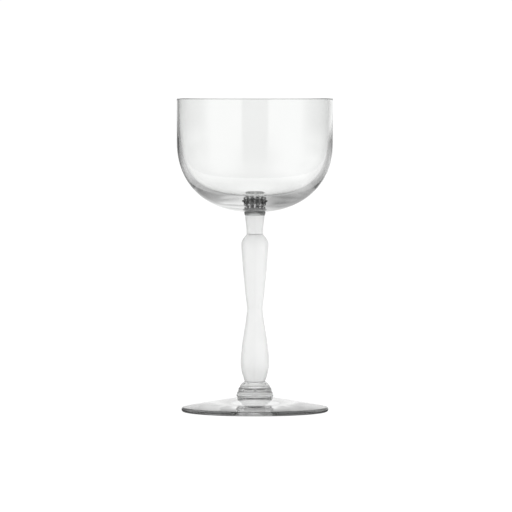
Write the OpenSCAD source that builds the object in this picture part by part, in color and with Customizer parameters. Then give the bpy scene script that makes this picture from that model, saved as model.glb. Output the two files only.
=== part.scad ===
// Stemmed cocktail glass with a round-bottomed bowl on a panelled stem and a domed foot.
// Millimetres. +Z up, the origin is the middle of the foot on the table.
// Every piece is solid glass. Neighbours are fused flat face to flat face, as hot glass is,
// and the collar's fluted tenon stands in a socket in the bowl's thick floor.

/* [Overall] */
// Height of the whole glass
total_h = 150; // [146:1:154]
// Height of the bowl's underside above the table
bowl_base_z = 95.7; // [95:0.1:96.5]

/* [Bowl] */
// Outer radius of the bowl at the rim
rim_r = 37.4; // [36.4:0.2:38.4]
// Wall thickness at the rim
rim_wall = 1.15; // [1:0.05:1.4]
// Radius of the rim's two fire-polished edges
rim_round = 0.3; // [0.2:0.05:0.4]
// Length of the upright wall below the rim
straight_h = 20; // [18:1:24]
// Thickness of the glass at the middle of the floor
floor_t = 5.5; // [5:0.25:6.5]
// Fullness of the outer curve, 2 is an ellipse
outer_full = 2.25; // [2.2:0.05:2.4]
// Fullness of the inner curve near the floor, 2 is an ellipse
inner_low = 2.6; // [2.4:0.05:2.7]
// Fullness of the inner curve near the wall, 2 is an ellipse
inner_full = 3.6; // [3.4:0.05:3.7]

/* [Collar and neck] */
// Radius of the collar where it carries the bowl
collar_r = 5.2; // [5:0.1:5.6]
// Radius of the collar at its sharp lower edge
collar_low_r = 4.85; // [4.8:0.05:5]
// Height of the collar
collar_h = 1.65; // [1.4:0.05:2.5]
// Radius of the tenon that stands up from the collar inside the bowl's floor
tenon_r = 4.3; // [3.8:0.1:4.6]
// Height of the tenon
tenon_h = 4; // [2:0.25:4.25]
// Number of flutes round the tenon
flutes = 12; // [8:1:16]
// Radius of the cut that makes a flute
flute_r = 0.5; // [0.3:0.05:0.6]
// How far outside the tenon's surface the cut is centred
flute_out = 0.1; // [0:0.05:0.2]
// Clearance between the tenon and its socket
fit_gap = 0.05; // [0.02:0.01:0.1]
// Radius of the neck under the collar
neck_r = 4.65; // [4.3:0.05:4.8]
// Radius of the neck at its lower end
neck_low_r = 4; // [3.7:0.05:4.2]
// Height of the neck
neck_h = 9.05; // [8:0.05:10]
// Depth of the fine seam where the neck meets the baluster
seam_d = 0.15; // [0.05:0.05:0.3]

/* [Baluster] */
// Number of flat panels round the stem, one ridge faces the front
panels = 8; // [6:2:8]
// How far the ridges are rounded off, as a share of the radius
ridge_round = 0.035; // [0.02:0.005:0.05]
// How far the panels are crowned, 0 is dead flat
panel_crown = 0.06; // [0.03:0.01:0.1]
// Radius of the upper swelling
shoulder_r = 6.5; // [6:0.1:7.5]
// Length of the slope from the neck to the upper swelling
shoulder_h = 4.6; // [3.6:0.1:5.6]
// Radius of the waist
waist_r = 3.7; // [3.3:0.05:4.5]
// Height of the waist above the table
waist_z = 49.5; // [46:0.1:54]
// Radius of the lower swelling
belly_r = 6.8; // [6:0.1:7.5]
// Height of the lower swelling above the table
belly_z = 23.4; // [21:0.1:26]
// Radius at the lower end of the baluster
baluster_low_r = 4.9; // [4.4:0.05:4.95]

/* [Knop and ring] */
// Radius of the knop's dome where it takes the baluster
knop_top_r = 4.95; // [4.95:0.05:5.5]
// Radius of the knop at the foot of its dome
knop_r = 7.2; // [6.9:0.05:7.4]
// Height of the knop
knop_h = 4.7; // [4.3:0.1:5.2]
// Radius of the flange that the knop's panels run out on
flange_r = 8.1; // [7.8:0.05:8.3]
// Height of the flange
flange_h = 1.9; // [1.5:0.1:2.3]
// How far down the flange the panels' scallops reach, as a share of its height
scallop = 0.6; // [0.5:0.05:0.8]
// Radius of the ring's upper tier under the flange
tier_r = 8.15; // [8.1:0.05:8.4]
// Radius at the foot of the upper tier
tier_low_r = 8.6; // [8.5:0.05:8.7]
// Radius of the ring's band
ring_r = 8.8; // [8.7:0.05:9.4]
// Radius of the band's rounded edges
ring_round = 0.4; // [0.25:0.05:0.45]
// Height of the band
band_h = 1.8; // [1.4:0.1:2]
// Height of the ring under the knop
ring_h = 2.8; // [2.5:0.1:3.4]

/* [Foot] */
// Outer radius of the foot
foot_r = 35.2; // [32.2:0.2:38]
// Height of the hub that carries the ring
hub_h = 7; // [6.5:0.1:7.5]
// Radius of the hub
hub_r = 8.2; // [7.8:0.1:8.2]
// Thickness of the foot at its rounded edge
edge_t = 2.3; // [1.8:0.1:2.6]
// Height of the hollow under the middle of the foot
dish_h = 3.6; // [1:0.1:3.8]
// How fast the hollow runs out flat towards the ring, 2 is slow
dish_full = 3; // [1.5:0.1:3.5]
// Width of the flat ring that the glass stands on
rest_w = 3.4; // [2:0.1:5]

/* [Hidden] */
$fn = 180;

collar_z = bowl_base_z - collar_h;
neck_z = collar_z - neck_h;
ring_z = hub_h;
knop_z = ring_z + ring_h;
baluster_z = knop_z + knop_h;
shoulder_z = neck_z - shoulder_h;

bowl_c = total_h - straight_h;                     // centre height of the outer curve
bowl_tip = bowl_base_z - 0.15;                     // where the outer curve would close
rim_cz = total_h - rim_round;                      // centre height of the rim's rounded edges
inner_r = rim_r - rim_wall;
floor_z = bowl_base_z + floor_t;
socket_z = bowl_base_z + tenon_h + fit_gap;

panel_a = 360 / panels;
crown = 1 - panel_crown;
flat_share = pow(cos(panel_a / 2), crown) / (1 - ridge_round); // distance to a panel over distance to a rounded ridge
ridge_a = panel_a / 2 - acos(pow(flat_share, 1 / crown));      // half the angle that a rounded ridge takes

// Superellipse quadrant: radius r and depth d at parameter t from 0 (bottom) to 90 (side)
function super_r(a, n, t) = a * pow(sin(t), 2 / n);
function super_d(b, n, t) = b * pow(cos(t), 2 / n);

// Evenly spaced numbers from a to b
function span(a, b, n) = [for (i = [0:n]) a + (b - a) * i / n];
function hermite(u, s) = (u * u * u - 2 * u * u + u) * s + (3 * u * u - 2 * u * u * u);

// Outer curve of the bowl, from the collar up to the upright wall
function bowl_outer() =
    let (t0 = asin(pow(collar_r / rim_r, outer_full / 2)))
    [for (t = span(t0, 90, 30)) [super_r(rim_r, outer_full, t), bowl_c - super_d(bowl_c - bowl_tip, outer_full, t)]];
// Inner curve of the bowl, from the rim down to the floor
function bowl_inner() =
    [for (t = span(90, 0, 36)) [super_r(inner_r, inner_low, t), rim_cz - super_d(rim_cz - floor_z, inner_full, t)]];
function rim_edges() = concat(
    [for (t = span(0, 90, 4)) [rim_r - rim_round + rim_round * cos(t), rim_cz + rim_round * sin(t)]],
    [for (t = span(90, 180, 4)) if (t < 180) [inner_r + rim_round + rim_round * cos(t), rim_cz + rim_round * sin(t)]]);

// Radius of the baluster's ridges at height z
function baluster_r(z) =
    z > shoulder_z ? neck_low_r - seam_d + (shoulder_r - neck_low_r + seam_d) * sin(90 * (neck_z - z) / shoulder_h) :
    z > waist_z ? shoulder_r - (shoulder_r - waist_r) * pow((shoulder_z - z) / (shoulder_z - waist_z), 1.3) :
    z > belly_z ? waist_r + (belly_r - waist_r) * hermite((waist_z - z) / (waist_z - belly_z), 0.5) :
    belly_r - (belly_r - baluster_low_r) * (1 - cos(90 * (belly_z - z) / (belly_z - baluster_z)));
// Radius of the neck's ridges, a slight hollow sweep that ends in the seam
function neck_rz(z) = let (u = (collar_z - z) / neck_h)
    neck_r - (neck_r - neck_low_r) * pow(sin(90 * min(1, 1.2 * u)), 2) - seam_d * max(0, 1 - (z - neck_z) / 0.3);
// Radius of the knop before its panels are cut: a dome over a flange, with a fine seam under it
function knop_rz(z) = let (v = (z - knop_z) / flange_h)
    v >= 1 ? knop_top_r + (knop_r - knop_top_r) * sin(90 * (baluster_z - z) / (knop_h - flange_h)) :
    knop_r + (flange_r - knop_r) * pow(1 - v, 0.3) - seam_d * max(0, 1 - (z - knop_z) / 0.2);
// Distance of the knop's panels: they follow the dome, then sweep out and end in scallops on the flange
function knop_az(z) = let (v = (z - knop_z) / flange_h)
    v >= 1 ? knop_rz(z) * flat_share :
    knop_r * flat_share + (flange_r + 0.05 - knop_r * flat_share) * pow((1 - v) / scallop, 1.3);

// Cross-section of a panelled piece: ridge radius r, panels at distance a, at direction w from a panel's middle
function panel_rho(r, a, w) = min(r, a / pow(cos(w), crown));
function panel_dir(t) = let (m = t - panel_a * floor(t / panel_a)) m - panel_a / 2;
// Directions round a ring: each ridge with its two edges
function ridge_dirs() = [for (i = [0:panels - 1]) each [i * panel_a, i * panel_a + ridge_a, (i + 1) * panel_a - ridge_a]];
function even_dirs(k) = [for (i = [0:panels * k - 1]) i * panel_a / k];
// Rings of points at the given heights
function ring_pts(dirs, r, a, z) = [for (t = dirs) let (q = panel_rho(r, a, panel_dir(t))) [q * cos(t), q * sin(t), z]];

// Closed solid from rings of n points each, lowest ring first
module loft(rings) {
    n = len(rings[0]);
    m = len(rings);
    polyhedron(
        points = [for (g = rings) each g],
        faces = concat(
            [[for (i = [0:n - 1]) i]],
            [for (j = [0:m - 2], i = [0:n - 1]) each [
                [j * n + i, (j + 1) * n + i, (j + 1) * n + (i + 1) % n],
                [j * n + i, (j + 1) * n + (i + 1) % n, j * n + (i + 1) % n]]],
            [[for (i = [n - 1:-1:0]) (m - 1) * n + i]]),
        convexity = 6);
}

module bowl() {
    color([0.86, 0.90, 0.90, 0.45])
    rotate_extrude()
        polygon(concat(
            [[0, socket_z], [tenon_r + fit_gap, socket_z], [tenon_r + fit_gap, bowl_base_z]],
            bowl_outer(), rim_edges(), bowl_inner()));
}

module bowl_collar() {
    color([0.55, 0.58, 0.58, 0.8]) {
        loft([for (z = [collar_z, bowl_base_z])
            let (r = collar_low_r + (collar_r - collar_low_r) * (z - collar_z) / collar_h)
            ring_pts(ridge_dirs(), r, r * flat_share, z)]);
        difference() {
            translate([0, 0, bowl_base_z]) cylinder(r = tenon_r, h = tenon_h);
            for (i = [0:flutes - 1])
                rotate([0, 0, (i + 0.5) * 360 / flutes])
                    translate([tenon_r + flute_out, 0, bowl_base_z])
                        cylinder(r = flute_r, h = tenon_h + 1, $fn = 24);
        }
    }
}

module stem_neck() {
    color([0.90, 0.91, 0.91, 0.7])
    loft([for (z = concat([neck_z], span(neck_z + 0.3, collar_z, 8))) ring_pts(ridge_dirs(), neck_rz(z), neck_rz(z) * flat_share, z)]);
}

module stem_baluster() {
    color([0.93, 0.94, 0.94, 0.7])
    loft([for (z = concat(span(baluster_z, belly_z, 7), [for (v = span(belly_z, waist_z, 11)) if (v > belly_z) v],
                          [for (v = span(waist_z, shoulder_z, 11)) if (v > waist_z) v],
                          [for (v = span(shoulder_z, neck_z, 5)) if (v > shoulder_z) v]))
        ring_pts(ridge_dirs(), baluster_r(z), baluster_r(z) * flat_share, z)]);
}

module foot_knop() {
    color([0.66, 0.69, 0.68, 0.8])
    loft([for (z = concat([knop_z], span(knop_z + 0.2, knop_z + flange_h, 9), [for (v = span(knop_z + flange_h, baluster_z, 6)) if (v > knop_z + flange_h) v]))
        ring_pts(even_dirs(8), knop_rz(z), knop_az(z), z)]);
}

// A rounded band, a crease and a tier that slopes in under the knop's flange
module knop_ring() {
    rc = ring_r - ring_round;
    lift = ring_round + 0.05;
    tier_z = ring_z + band_h + 0.07;
    color([0.60, 0.63, 0.62, 0.8])
    rotate_extrude()
        polygon(concat(
            [[0, ring_z], [hub_r, ring_z]],
            [for (t = span(-80, 0, 5)) [rc + ring_round * cos(t), ring_z + lift + ring_round * sin(t)]],
            [for (t = span(0, 80, 5)) [rc + ring_round * cos(t), ring_z + band_h - lift + ring_round * sin(t)]],
            [for (u = span(0, 1, 6)) [tier_low_r - (tier_low_r - tier_r) * (1 - cos(90 * u)), tier_z + (knop_z - 0.15 - tier_z) * u]],
            [[flange_r - seam_d, knop_z], [0, knop_z]]));
}

// Height of the foot's upper side at radius r: a low dome that ends in a fine seam under the ring
function foot_top(r) = let (re = edge_t / 2, u = (r - hub_r) / (foot_r - re - hub_r))
    edge_t + (hub_h - seam_d - edge_t) * (1 - pow(max(0, u), 1.1));

module foot() {
    re = edge_t / 2;
    rd = foot_r - re - rest_w;
    color([0.80, 0.83, 0.82, 0.6])
    rotate_extrude()
        polygon(concat(
            [for (u = span(0, 1, 14)) [rd * u, dish_h * pow(1 - u * u, dish_full)]],
            [for (t = span(-90, 80, 10)) [foot_r - re + re * cos(t), re + re * sin(t)]],
            [for (r = span(foot_r - re, hub_r + 2, 14)) [r, foot_top(r)]],
            [[hub_r, foot_top(hub_r)], [hub_r, hub_h], [0, hub_h]]));
}

bowl();
bowl_collar();
stem_neck();
stem_baluster();
foot_knop();
knop_ring();
foot();
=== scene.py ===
import math

import bpy
import numpy as np
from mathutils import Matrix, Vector


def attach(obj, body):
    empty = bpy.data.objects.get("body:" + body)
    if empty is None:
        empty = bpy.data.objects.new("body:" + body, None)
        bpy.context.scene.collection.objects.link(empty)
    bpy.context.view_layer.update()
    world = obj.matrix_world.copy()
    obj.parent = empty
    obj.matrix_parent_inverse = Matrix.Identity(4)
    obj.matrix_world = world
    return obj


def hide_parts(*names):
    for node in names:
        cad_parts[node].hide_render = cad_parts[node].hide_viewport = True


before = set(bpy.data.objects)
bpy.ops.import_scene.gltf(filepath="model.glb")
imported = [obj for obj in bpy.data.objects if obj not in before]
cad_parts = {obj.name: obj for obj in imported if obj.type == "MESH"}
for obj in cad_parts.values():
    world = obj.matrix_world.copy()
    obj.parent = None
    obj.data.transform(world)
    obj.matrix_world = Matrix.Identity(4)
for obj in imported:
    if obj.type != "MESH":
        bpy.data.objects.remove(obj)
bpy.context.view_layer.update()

MM = 0.001
TAU = 2 * math.pi


# ---------------------------------------------------------------- camera
# A long lens a little above the rim, looking slightly down along +Y.
cam_data = bpy.data.cameras.new("camera")
cam_data.sensor_width = 36
cam_data.lens = 352.6
cam_data.clip_start, cam_data.clip_end = 0.05, 60
camera = bpy.data.objects.new("camera", cam_data)
bpy.context.scene.collection.objects.link(camera)
camera.location = (0.00053, -2.4, 0.1668)
camera.rotation_mode = "QUATERNION"
camera.rotation_quaternion = (Vector((0.00053, 0, 0.0746)) - camera.location).to_track_quat("-Z", "Y")
bpy.context.scene.camera = camera


# ---------------------------------------------------------------- dimensions, mm, as in the CAD
total_h, bowl_base_z = 150.0, 95.7
rim_r, rim_wall, rim_round, straight_h, floor_t = 37.4, 1.15, 0.3, 20.0, 5.5
outer_full, inner_low, inner_full = 2.25, 2.6, 3.6
collar_r, collar_low_r, collar_h = 5.2, 4.85, 1.65
tenon_r, tenon_h, flutes, flute_r, flute_out, fit_gap = 4.3, 4.0, 12, 0.5, 0.1, 0.05
neck_r, neck_low_r, neck_h, seam_d = 4.65, 4.0, 9.05, 0.15
panels, ridge_round, crown = 8, 0.035, 0.94
shoulder_r, shoulder_h, waist_r, waist_z = 6.5, 4.6, 3.7, 49.5
belly_r, belly_z, baluster_low_r = 6.8, 23.4, 4.9
knop_top_r, knop_r, knop_h, flange_r, flange_h, scallop = 4.95, 7.2, 4.7, 8.1, 1.9, 0.6
tier_r, tier_low_r, ring_r, ring_round, band_h, ring_h = 8.15, 8.6, 8.8, 0.4, 1.8, 2.8
foot_r, hub_h, hub_r, edge_t, rest_w, dish_h, dish_full = 35.2, 7.0, 8.2, 2.3, 3.4, 3.6, 3.0

collar_z = bowl_base_z - collar_h
neck_z = collar_z - neck_h
ring_z = hub_h
knop_z = ring_z + ring_h
baluster_z = knop_z + knop_h
shoulder_z = neck_z - shoulder_h
panel_a = TAU / panels
flat_share = math.cos(panel_a / 2) ** crown / (1 - ridge_round)

GAP = 0.01               # each fused face stops this short of its neighbour, mm


def spread(a, b, n):
    return [a + (b - a) * i / n for i in range(n + 1)]


def hermite(u, s):
    return (u ** 3 - 2 * u * u + u) * s + (3 * u * u - 2 * u ** 3)


def baluster_rz(z):
    if z > shoulder_z:
        return neck_low_r - seam_d + (shoulder_r - neck_low_r + seam_d) * math.sin(math.pi / 2 * (neck_z - z) / shoulder_h)
    if z > waist_z:
        return shoulder_r - (shoulder_r - waist_r) * ((shoulder_z - z) / (shoulder_z - waist_z)) ** 1.3
    if z > belly_z:
        return waist_r + (belly_r - waist_r) * hermite((waist_z - z) / (waist_z - belly_z), 0.5)
    return belly_r - (belly_r - baluster_low_r) * (1 - math.cos(math.pi / 2 * (belly_z - z) / (belly_z - baluster_z)))


def neck_rz(z):
    u = (collar_z - z) / neck_h
    return neck_r - (neck_r - neck_low_r) * math.sin(math.pi / 2 * min(1.0, 1.2 * u)) ** 2 - seam_d * max(0.0, 1 - (z - neck_z) / 0.3)


def knop_rz(z):
    """A dome over a flange that spreads to the ring, with a fine seam under it."""
    v = (z - knop_z) / flange_h
    if v >= 1:
        return knop_top_r + (knop_r - knop_top_r) * math.sin(math.pi / 2 * (baluster_z - z) / (knop_h - flange_h))
    return knop_r + (flange_r - knop_r) * (1 - v) ** 0.3 - seam_d * max(0.0, 1 - (z - knop_z) / 0.2)


def knop_az(z):
    """The panels follow the dome, then sweep out and end in scallops on the flange."""
    v = (z - knop_z) / flange_h
    if v >= 1:
        return knop_rz(z) * flat_share
    return knop_r * flat_share + (flange_r + 0.05 - knop_r * flat_share) * ((1 - v) / scallop) ** 1.3


def foot_top(r):
    u = (r - hub_r) / (foot_r - edge_t / 2 - hub_r)
    return edge_t + (hub_h - seam_d - edge_t) * (1 - max(0.0, u) ** 1.1)


# ---------------------------------------------------------------- meshes
def finish_mesh(name, verts, faces, slots, materials, body="root"):
    """A closed piece from points in mm. slots holds one material index for each face."""
    me = bpy.data.meshes.new(name)
    me.from_pydata([tuple(c * MM for c in v) for v in verts], [], faces)
    me.validate()
    me.update()
    for m in materials:
        me.materials.append(m)
    me.polygons.foreach_set("material_index", slots)
    me.polygons.foreach_set("use_smooth", [True] * len(me.polygons))
    ob = bpy.data.objects.new(name, me)
    bpy.context.scene.collection.objects.link(ob)
    me.set_sharp_from_angle(angle=math.radians(32))
    return ob


def lathe(name, profile, materials, segs=256, joints=()):
    """A turned piece. profile runs from the axis, round the outside, back to the axis, as (r, z). joints names the heights of its fused faces."""
    verts, rings = [], []
    for r, z in profile:
        if r < 1e-6:
            rings.append([len(verts)])
            verts.append((0.0, 0.0, z))
        else:
            rings.append(list(range(len(verts), len(verts) + segs)))
            verts += [(r * math.cos(TAU * i / segs), r * math.sin(TAU * i / segs), z) for i in range(segs)]
    faces, slots = [], []
    for k in range(len(rings) - 1):
        a, b = rings[k], rings[k + 1]
        za, zb = profile[k][1], profile[k + 1][1]
        fused = any(abs(za - j) < 0.02 and abs(zb - j) < 0.02 for j in joints)
        for i in range(segs):
            j = (i + 1) % segs
            if len(a) == 1:
                f = (a[0], b[j], b[i])
            elif len(b) == 1:
                f = (a[i], a[j], b[0])
            else:
                f = (a[i], a[j], b[j], b[i])
            faces.append(f)
            slots.append(1 if fused else 0)
    return finish_mesh(name, verts, faces, slots, materials)


def soft_min(a, b, p=60.0):
    return (a ** -p + b ** -p) ** (-1 / p)


def panel_ring(n, r, a):
    """Radii of n points round a panelled section: ridges at r, panels at distance a."""
    return [soft_min(r, a / math.cos(((TAU * i / n) % panel_a) - panel_a / 2) ** crown) for i in range(n)]


def flute_ring(n, r):
    """Radii of n points round a fluted section: round grooves cut into radius r."""
    c, step = r + flute_out, TAU / flutes
    out = []
    for i in range(n):
        w = (TAU * i / n) % step - step / 2
        d = flute_r ** 2 - (c * math.sin(w)) ** 2
        out.append(min(r, c * math.cos(w) - math.sqrt(d)) if d > 0 else r)
    return out


def panelled(name, rings, materials, per=24, caps=(True, True)):
    """A panelled piece from (radius of the ridges, distance of the panels, z), lowest first. caps says which ends are fused."""
    n = panels * per
    return stacked(name, [(panel_ring(n, r, a), z) for r, a, z in rings], materials, caps)


def stacked(name, rings, materials, caps=(True, True)):
    """A closed piece from (radii round the section, z), lowest first."""
    n = len(rings[0][0])
    verts, faces, slots = [], [], []
    for radii, z in rings:
        for i, q in enumerate(radii):
            t = TAU * i / n
            verts.append((q * math.cos(t), q * math.sin(t), z))
    m = len(rings)
    for k in range(m - 1):
        for i in range(n):
            j = (i + 1) % n
            faces.append((k * n + i, k * n + j, (k + 1) * n + j, (k + 1) * n + i))
            slots.append(0)
    for end, fused in ((0, caps[0]), (m - 1, caps[1])):
        c = len(verts)
        verts.append((0.0, 0.0, rings[end][1]))
        for i in range(n):
            j = (i + 1) % n
            faces.append((end * n + j, end * n + i, c) if end == 0 else (end * n + i, end * n + j, c))
            slots.append(1 if fused else 0)
    return finish_mesh(name, verts, faces, slots, materials)


# ---------------------------------------------------------------- materials
def tree(name):
    m = bpy.data.materials.new(name)
    m.use_nodes = True
    nt = m.node_tree
    nt.nodes.clear()
    return m, nt, nt.nodes.new("ShaderNodeOutputMaterial")


def glass(name, colour, ior, rough, wave, through=1.0):
    """Glass. rough is (least, most) roughness, wave the height of its slow waviness in mm, through the share that isn't milky."""
    m, nt, out = tree(name)
    p = nt.nodes.new("ShaderNodeBsdfPrincipled")
    p.inputs["Base Color"].default_value = (*colour, 1)
    p.inputs["Transmission Weight"].default_value = through
    p.inputs["IOR"].default_value = ior
    co = nt.nodes.new("ShaderNodeTexCoord")
    n = nt.nodes.new("ShaderNodeTexNoise")
    n.inputs["Scale"].default_value = 60
    n.inputs["Detail"].default_value = 3
    nt.links.new(co.outputs["Object"], n.inputs["Vector"])
    r = nt.nodes.new("ShaderNodeMapRange")
    r.inputs["From Min"].default_value, r.inputs["From Max"].default_value = 0.3, 0.7
    r.inputs["To Min"].default_value, r.inputs["To Max"].default_value = rough
    nt.links.new(n.outputs["Fac"], r.inputs["Value"])
    nt.links.new(r.outputs["Result"], p.inputs["Roughness"])
    w = nt.nodes.new("ShaderNodeTexNoise")
    w.inputs["Scale"].default_value = 45
    w.inputs["Detail"].default_value = 1
    nt.links.new(co.outputs["Object"], w.inputs["Vector"])
    b = nt.nodes.new("ShaderNodeBump")
    b.inputs["Strength"].default_value = 1.0
    b.inputs["Distance"].default_value = wave * MM
    nt.links.new(w.outputs["Fac"], b.inputs["Height"])
    nt.links.new(b.outputs["Normal"], p.inputs["Normal"])
    nt.links.new(p.outputs["BSDF"], out.inputs["Surface"])
    return m


def fused(name, tone):
    """Where two pieces are one mass of glass, light goes straight on, a little dimmed by the seam."""
    m, nt, out = tree(name)
    t = nt.nodes.new("ShaderNodeBsdfTransparent")
    t.inputs["Color"].default_value = (*tone, 1)
    nt.links.new(t.outputs["BSDF"], out.inputs["Surface"])
    return m


clear = glass("clear_glass", (0.99, 0.995, 0.99), 1.5, (0.0, 0.004), 0.01)
def ribbed(name, dark, light, count):
    """The seam round the plug inside the bowl's base: light goes straight on, dimmed more in the flutes than between them."""
    m, nt, out = tree(name)
    co = nt.nodes.new("ShaderNodeTexCoord")
    sep = nt.nodes.new("ShaderNodeSeparateXYZ")
    nt.links.new(co.outputs["Object"], sep.inputs["Vector"])
    last = None
    for op, args in (("ARCTAN2", (sep.outputs["Y"], sep.outputs["X"])), ("MULTIPLY", (None, count)), ("COSINE", (None,))):
        k = nt.nodes.new("ShaderNodeMath")
        k.operation = op
        for i, a in enumerate(args):
            if a is None:
                nt.links.new(last, k.inputs[i])
            elif isinstance(a, (int, float)):
                k.inputs[i].default_value = a
            else:
                nt.links.new(a, k.inputs[i])
        last = k.outputs[0]
    r = nt.nodes.new("ShaderNodeMapRange")
    r.inputs["From Min"].default_value, r.inputs["From Max"].default_value = -0.5, 0.9
    r.inputs["To Min"].default_value, r.inputs["To Max"].default_value = dark, light
    nt.links.new(last, r.inputs["Value"])
    t = nt.nodes.new("ShaderNodeBsdfTransparent")
    nt.links.new(r.outputs["Result"], t.inputs["Color"])
    nt.links.new(t.outputs["BSDF"], out.inputs["Surface"])
    return m


def seam_faces(piece, slot, r_max, z_min, z_max):
    """Gives one of the piece's material slots to its faces within r_max of the axis and between two heights, mm."""
    for p in piece.data.polygons:
        c = p.center / MM
        if math.hypot(c.x, c.y) < r_max and z_min < c.z < z_max:
            p.material_index = slot


smoke = glass("collar_glass", (0.44, 0.45, 0.44), 1.5, (0.0, 0.01), 0.02)
satin = glass("stem_glass", (0.99, 0.995, 0.99), 1.5, (0.10, 0.16), 0.01, through=0.35)
knop_glass = glass("knop_glass", (0.99, 0.995, 0.99), 1.5, (0.0, 0.004), 0.01, through=0.85)
# painted shade: dark glass for the foot's rounded edge, a dark band round the foot
painted_edge_shade = glass("foot_edge_painted_shade", (0.65, 0.655, 0.65), 1.5, (0.0, 0.004), 0.01)
# painted shade: dark glass for the rim's top, a dark line across the rim
painted_rim_shade = glass("rim_edge_painted_shade", (0.5, 0.505, 0.5), 1.5, (0.0, 0.004), 0.01)
# painted shade: dark glass for the knop's scallop edges, creases and seam, and the line under the ring
crease = glass("knop_crease_painted_shade", (0.25, 0.25, 0.25), 1.5, (0.0, 0.004), 0.0, through=0.85)
seam_shade = glass("seam_shade", (0.5, 0.5, 0.5), 1.5, (0.2, 0.3), 0.01, through=0.2)
joint = fused("fused_face", (0.95, 0.95, 0.95))
shelf = fused("fused_shelf", (0.85, 0.85, 0.85))
dark_joint = fused("fused_collar", (0.65, 0.65, 0.65))
ribs = ribbed("ribbed_seam", 0.45, 1.0, flutes)


# ---------------------------------------------------------------- the pieces
def bowl_profile():
    c = total_h - straight_h
    b = c - (bowl_base_z - 0.15)
    t0 = math.asin((collar_r / rim_r) ** (outer_full / 2))
    top = bowl_base_z + tenon_h + fit_gap
    sr = tenon_r + fit_gap
    out = [(0.0, top), (sr * 0.5, top), (sr - 0.2, top)]
    out += [(sr - 0.2 + 0.2 * math.cos(t), top - 0.2 + 0.2 * math.sin(t)) for t in spread(math.pi / 2, 0, 6)[1:]]
    out += [(sr, z) for z in spread(top - 0.2, bowl_base_z + GAP, 8)[1:]]
    out.append((collar_r, bowl_base_z + GAP))
    for t in spread(t0, math.pi / 2, 90)[1:]:
        out.append((rim_r * math.sin(t) ** (2 / outer_full), c - b * max(0.0, math.cos(t)) ** (2 / outer_full)))
    cz = total_h - rim_round
    ri = rim_r - rim_wall
    out += [(rim_r, z) for z in spread(c, cz, 16)[1:]]
    out += [(rim_r - rim_round + rim_round * math.cos(t), cz + rim_round * math.sin(t)) for t in spread(0, math.pi / 2, 10)[1:]]
    out += [(ri + rim_round + rim_round * math.cos(t), cz + rim_round * math.sin(t)) for t in spread(math.pi / 2, math.pi, 10)]
    bi = cz - (bowl_base_z + floor_t)
    ir = rim_r - rim_wall
    for z in spread(cz, cz - 0.62 * bi, 40)[1:]:
        d = (cz - z) / bi
        out.append((ir * (1 - d ** inner_full) ** (1 / inner_low), z))
    r_end = out[-1][0]
    for r in spread(r_end, 0, 90)[1:]:
        out.append((r, cz - bi * (1 - (r / ir) ** inner_low) ** (1 / inner_full)))
    out[-1] = (0.0, out[-1][1])
    return out


bowl = lathe("bowl_blown", bowl_profile(), [clear, shelf, ribs, painted_rim_shade], 320, joints=(bowl_base_z + GAP,))
seam_faces(bowl, 2, tenon_r + fit_gap, bowl_base_z + 2 * GAP, bowl_base_z + tenon_h + fit_gap + GAP)
# painted shade: the top 0.3 mm of the rim gets the dark rim glass
seam_faces(bowl, 3, rim_r, total_h - 0.3, total_h)


def plain_rings(zs, f, share=flat_share):
    return [(f(z), f(z) * share, z) for z in zs]


def collar_rz(z):
    return collar_low_r + (collar_r - collar_low_r) * (z - collar_z) / collar_h


def collar_rings():
    """The panelled collar, then the fluted tenon that stands up from it inside the bowl's base."""
    n = panels * 48
    top = bowl_base_z + tenon_h
    out = [(panel_ring(n, collar_rz(z), collar_rz(z) * flat_share), z) for z in spread(collar_z + GAP, bowl_base_z - GAP, 10)]
    out += [(flute_ring(n, tenon_r), z) for z in spread(bowl_base_z, top - 0.3, 10)]
    out += [(flute_ring(n, tenon_r - 0.3 + 0.3 * math.cos(t)), top - 0.3 + 0.3 * math.sin(t)) for t in spread(0, math.pi / 2, 6)[1:]]
    return out


collar = stacked("bowl_collar_cut", collar_rings(), [smoke, dark_joint, ribs, shelf], caps=(True, False))
seam_faces(collar, 2, tenon_r + GAP, bowl_base_z, bowl_base_z + tenon_h + GAP)
seam_faces(collar, 3, collar_r, bowl_base_z - GAP, bowl_base_z)
neck = panelled("stem_neck_cut", plain_rings(spread(neck_z + GAP, neck_z + 0.3, 4) + spread(neck_z + 0.3, collar_z - GAP, 30)[1:], neck_rz), [satin, joint, seam_shade])
seam_faces(neck, 2, neck_r, neck_z + 2 * GAP, neck_z + 0.3)
zs = spread(baluster_z + GAP, belly_z, 30) + spread(belly_z, waist_z, 50)[1:] + spread(waist_z, shoulder_z, 60)[1:] + spread(shoulder_z, neck_z - GAP, 24)[1:]
baluster = panelled("stem_baluster_cut", plain_rings(zs, baluster_rz), [satin, joint])
zs = spread(knop_z + GAP, knop_z + 0.2, 4) + spread(knop_z + 0.2, knop_z + flange_h, 36)[1:] + spread(knop_z + flange_h, baluster_z - GAP, 24)[1:]
knop = panelled("foot_knop_cut", [(knop_rz(z), knop_az(z), z) for z in zs], [knop_glass, joint, crease], per=40)
for p in knop.data.polygons:
    # painted shade along the scallops' edges, in the crease over the knop and in the seam under it: these faces get the
    # dark crease glass
    c = p.center / MM
    w = math.atan2(c.y, c.x) % panel_a - panel_a / 2
    edge = c.z < knop_z + flange_h and abs(knop_az(c.z) / math.cos(w) ** crown - knop_rz(c.z)) < 0.07
    if p.material_index == 0 and (edge or c.z < knop_z + 0.35 or c.z > baluster_z - 0.25):
        p.material_index = 2


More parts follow.
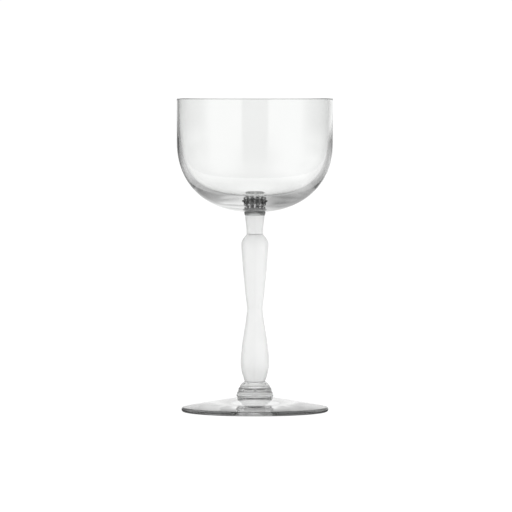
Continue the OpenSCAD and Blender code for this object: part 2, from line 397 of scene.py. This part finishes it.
def ring_profile():
    """A rounded band, a crease and a tier that slopes in under the flange."""
    rc, lift = ring_r - ring_round, ring_round + 0.05
    tier_z = ring_z + band_h + 0.07
    out = [(0.0, ring_z + GAP), (hub_r * 0.5, ring_z + GAP), (hub_r, ring_z + GAP)]
    out += [(rc + ring_round * math.cos(t), ring_z + lift + ring_round * math.sin(t)) for t in spread(-1.4, 0, 12)]
    out += [(rc + ring_round * math.cos(t), ring_z + band_h - lift + ring_round * math.sin(t)) for t in spread(0, 1.4, 12)]
    out += [(tier_low_r - (tier_low_r - tier_r) * (1 - math.cos(math.pi / 2 * u)), tier_z + (knop_z - 0.15 - tier_z) * u) for u in spread(0, 1, 12)]
    out += [(flange_r - seam_d, knop_z - GAP), (flange_r * 0.5, knop_z - GAP), (0.0, knop_z - GAP)]
    return out


ring = lathe("knop_ring_turned", ring_profile(), [knop_glass, joint, crease], 256, joints=(ring_z + GAP, knop_z - GAP))
# painted shadow: the ring's lowest 0.3 mm gets the dark crease glass, a dark line under the ring
for p in ring.data.polygons:
    if p.material_index == 0 and p.center.z / MM < ring_z + 0.3:
        p.material_index = 2


def foot_profile():
    re = edge_t / 2
    rd = foot_r - re - rest_w
    out = [(rd * u, dish_h * (1 - u * u) ** dish_full) for u in spread(0, 1, 72)]
    out += [(r, 0.0) for r in spread(rd, foot_r - re, 6)[1:-1]]
    out += [(foot_r - re + re * math.cos(t), re + re * math.sin(t)) for t in spread(-math.pi / 2, math.pi / 2 - 0.17, 28)]
    out += [(r, foot_top(r)) for r in spread(foot_r - re, hub_r + 2, 60)]
    out += [(r, foot_top(r)) for r in spread(hub_r + 2, hub_r, 20)[1:]]
    out += [(hub_r, hub_h - GAP), (hub_r * 0.5, hub_h - GAP), (0.0, hub_h - GAP)]
    return out


foot = lathe("foot_pressed", foot_profile(), [clear, joint, painted_edge_shade], 320, joints=(hub_h - GAP,))
# painted shade: the outer 0.8 mm of the foot, its rounded edge, gets the dark edge glass
for p in foot.data.polygons:
    if math.hypot(p.center.x, p.center.y) / MM > foot_r - 0.8:
        p.material_index = 2

for piece, node, slot in (
    (bowl, "bowl", "clear_glass"),
    (collar, "bowl_collar", "collar_glass"),
    (neck, "stem_neck", "stem_glass"),
    (baluster, "stem_baluster", "stem_glass"),
    (knop, "foot_knop", "clear_glass"),
    (ring, "knop_ring", "clear_glass"),
    (foot, "foot", "clear_glass"),
):
    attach(piece, "root")
    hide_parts(node)


# ---------------------------------------------------------------- stage
# glow of the table that reflections see: painted shade near the glass, a painted pool of light under the foot
TABLE_PAINTED_SHADE, UNDER_FOOT_PAINTED_LIGHT = 0.1, 0.55


def make_floor():
    me = bpy.data.meshes.new("floor")
    n, r = 96, 0.6
    me.from_pydata([(r * math.cos(TAU * i / n), r * math.sin(TAU * i / n), -0.00002) for i in range(n)], [], [tuple(range(n))])
    ob = bpy.data.objects.new("floor", me)
    bpy.context.scene.collection.objects.link(ob)
    m, nt, out = tree("pale_floor")
    d = nt.nodes.new("ShaderNodeBsdfDiffuse")
    d.inputs["Color"].default_value = (0.12, 0.12, 0.12, 1)
    e = nt.nodes.new("ShaderNodeEmission")
    e.inputs["Color"].default_value = (1, 1, 1, 1)
    e.inputs["Strength"].default_value = 0.93
    a = nt.nodes.new("ShaderNodeAddShader")
    nt.links.new(d.outputs["BSDF"], a.inputs[0])
    nt.links.new(e.outputs["Emission"], a.inputs[1])
    # reflections in the glass see a table close to it that glows dimly as painted shade, with a painted pool of light
    # under the foot for light coming through the foot, and further out look past it into the studio's lower half
    lp = nt.nodes.new("ShaderNodeLightPath")
    k = nt.nodes.new("ShaderNodeMath")
    k.operation = "GREATER_THAN"
    k.inputs[1].default_value = 0.5
    nt.links.new(lp.outputs["Glossy Depth"], k.inputs[0])
    t = nt.nodes.new("ShaderNodeBsdfTransparent")
    dim = nt.nodes.new("ShaderNodeEmission")
    co = nt.nodes.new("ShaderNodeTexCoord")
    far = nt.nodes.new("ShaderNodeVectorMath")
    far.operation = "LENGTH"
    nt.links.new(co.outputs["Object"], far.inputs[0])
    under = nt.nodes.new("ShaderNodeMapRange")
    under.inputs["From Min"].default_value, under.inputs["From Max"].default_value = 0.03, 0.036
    under.inputs["To Min"].default_value, under.inputs["To Max"].default_value = UNDER_FOOT_PAINTED_LIGHT, TABLE_PAINTED_SHADE
    nt.links.new(far.outputs["Value"], under.inputs["Value"])
    nt.links.new(under.outputs["Result"], dim.inputs["Strength"])
    edge = nt.nodes.new("ShaderNodeMapRange")
    edge.inputs["From Min"].default_value, edge.inputs["From Max"].default_value = 0.08, 0.14
    nt.links.new(far.outputs["Value"], edge.inputs["Value"])
    table = nt.nodes.new("ShaderNodeMixShader")
    nt.links.new(edge.outputs["Result"], table.inputs[0])
    nt.links.new(dim.outputs["Emission"], table.inputs[1])
    nt.links.new(t.outputs["BSDF"], table.inputs[2])
    mix = nt.nodes.new("ShaderNodeMixShader")
    nt.links.new(k.outputs[0], mix.inputs[0])
    nt.links.new(a.outputs["Shader"], mix.inputs[1])
    nt.links.new(table.outputs["Shader"], mix.inputs[2])
    nt.links.new(mix.outputs["Shader"], out.inputs["Surface"])
    me.materials.append(m)


make_floor()


# ---------------------------------------------------------------- soft studio light, by direction
# What reflections see: height in degrees, then brightness by direction round the glass (0 is the camera's side, + its right).
STUDIO = [
    (-75, [(-180, 0.5), (180, 0.5)]),
    (-48, [(-180, 0.6), (-150, 0.4), (-120, 0.6), (-70, 0.7), (-30, 0.5), (-15, 0.3), (15, 0.3), (40, 0.8), (80, 1.1), (130, 1.0), (180, 0.6)]),
    (-30, [(-180, 0.6), (-165, 0.5), (-130, 0.8), (-110, 0.5), (-85, 0.9), (-35, 0.9), (-22, 0.6), (-17, 0.2), (17, 0.2), (22, 0.4), (45, 0.9), (75, 1.0), (105, 0.9), (130, 0.8), (150, 0.6), (180, 0.6)]),
    (-15, [(-180, 0.9), (-160, 0.7), (-110, 0.6), (-95, 0.9), (-80, 0.6), (-50, 0.9), (-22, 0.7), (-17, 0.1), (17, 0.1), (22, 0.5), (50, 1.0), (95, 1.1), (125, 1.0), (145, 0.8), (160, 0.4), (180, 0.8)]),
    (-5, [(-180, 1.0), (-170, 0.7), (-160, 0.3), (-150, 0.2), (-105, 0.2), (-90, 0.4), (-65, 0.7), (-22, 0.8), (-18, 0.2), (18, 0.2), (22, 0.9), (72, 1.0), (84, 0.4),
          (95, 0.1), (120, 0.2), (140, 0.5), (150, 1.0), (165, 1.1), (180, 1.0)]),
    (5, [(-180, 1.0), (-168, 0.5), (-150, 0.4), (-105, 0.4), (-85, 0.3), (-70, 0.7), (-22, 0.8), (-18, 0.1), (18, 0.1), (22, 0.8), (72, 0.8), (84, 0.4),
         (95, 0.1), (120, 0.3), (150, 0.5), (168, 0.7), (180, 1.0)]),
    (15, [(-180, 1.0), (-165, 0.5), (-150, 0.3), (-130, 0.6), (-105, 0.4), (-85, 0.7), (-50, 0.8), (-22, 0.6), (-17, 0.0), (17, 0.0), (22, 0.6), (50, 0.8), (78, 0.8), (90, 0.4), (130, 0.4), (145, 0.6), (168, 0.7), (180, 1.0)]),
    (30, [(-180, 0.9), (-160, 0.3), (-125, 0.7), (-105, 0.5), (-80, 0.7), (-40, 0.5), (-15, 0.1), (15, 0.1), (40, 0.6), (85, 0.8), (105, 0.3), (125, 0.3), (145, 0.7), (165, 0.5), (180, 0.9)]),
    (48, [(-180, 0.4), (-155, 0.3), (-130, 0.7), (-60, 0.7), (-15, 0.3), (15, 0.3), (60, 0.7), (100, 0.6), (125, 0.3), (150, 0.4), (180, 0.4)]),
    (75, [(-180, 0.25), (180, 0.25)]),
]


def make_world():
    """Plain white all round for what is seen straight or through thin glass, and soft boxes beside the camera, a bright
    backdrop and a dimmer room for what the glass reflects."""
    world = bpy.data.worlds.new("studio")
    bpy.context.scene.world = world
    world.use_nodes = True
    nt = world.node_tree
    nt.nodes.clear()
    N, L = nt.nodes.new, nt.links.new
    out = N("ShaderNodeOutputWorld")
    bg = N("ShaderNodeBackground")
    L(bg.outputs["Background"], out.inputs["Surface"])
    co = N("ShaderNodeTexCoord")
    sep = N("ShaderNodeSeparateXYZ")
    L(co.outputs["Generated"], sep.inputs["Vector"])

    def math_node(op, *args):
        n = N("ShaderNodeMath")
        n.operation = op
        for i, a in enumerate(args):
            if isinstance(a, (int, float)):
                n.inputs[i].default_value = a
            else:
                L(a, n.inputs[i])
        return n.outputs[0]

    # direction round the glass from the camera's side (-Y), 0 to 180 degrees either way, positive to the right
    az = math_node("MULTIPLY", math_node("ARCTAN2", sep.outputs["X"], math_node("MULTIPLY", sep.outputs["Y"], -1.0)), 180 / math.pi)
    el = math_node("MULTIPLY", math_node("ARCSINE", sep.outputs["Z"]), 180 / math.pi)

    def remap(value, lo, hi):
        mr = N("ShaderNodeMapRange")
        mr.inputs["From Min"].default_value, mr.inputs["From Max"].default_value = lo, hi
        L(value, mr.inputs["Value"])
        return mr.outputs["Result"]

    def ramp(points, name):
        cr = N("ShaderNodeValToRGB")
        cr.name = name
        cr.color_ramp.interpolation = "LINEAR"
        e = cr.color_ramp.elements
        while len(e) > 1:
            e.remove(e[-1])
        for i, (x, v) in enumerate(points):
            pos = (x + 180) / 360
            s = e.new(pos) if i else e[0]
            s.position = pos
            s.color = (v, v, v, 1)
        L(round_glass, cr.inputs["Fac"])
        return cr.outputs["Color"]

    def mix(a, b, fac):
        n = N("ShaderNodeMix")
        n.data_type = "RGBA"
        for socket, v in (("A", a), ("B", b)):
            if isinstance(v, tuple):
                n.inputs[socket].default_value = v
            else:
                L(v, n.inputs[socket])
        L(fac, n.inputs["Factor"])
        return n.outputs["Result"]

    round_glass = remap(az, -180, 180)
    shade = ramp(STUDIO[0][1], "height %d" % STUDIO[0][0])
    for (h0, _), (h1, points) in zip(STUDIO, STUDIO[1:]):
        shade = mix(shade, ramp(points, "height %d" % h1), remap(el, h0, h1))
    lp = N("ShaderNodeLightPath")
    reflected = math_node("GREATER_THAN", lp.outputs["Glossy Depth"], 0.5)
    seen = mix((1.0, 1.0, 1.0, 1), shade, reflected)
    side = math_node("ADD", 1.22, math_node("ADD", math_node("MULTIPLY", sep.outputs["X"], 0.12), math_node("MULTIPLY", sep.outputs["Y"], 0.15)))
    soft = N("ShaderNodeCombineColor")
    for socket in ("Red", "Green", "Blue"):
        L(side, soft.inputs[socket])
    seen = mix(seen, soft.outputs["Color"], lp.outputs["Is Diffuse Ray"])
    seen = mix(seen, (1.05, 1.05, 1.05, 1), lp.outputs["Is Camera Ray"])
    L(seen, bg.inputs["Color"])
    bg.inputs["Strength"].default_value = 1.0


make_world()

scene = bpy.context.scene
scene.view_settings.view_transform = "Standard"
scene.view_settings.look = "None"
scene.cycles.max_bounces = 32
scene.cycles.transmission_bounces = 32
scene.cycles.glossy_bounces = 16
scene.cycles.transparent_max_bounces = 32
scene.cycles.diffuse_bounces = 4
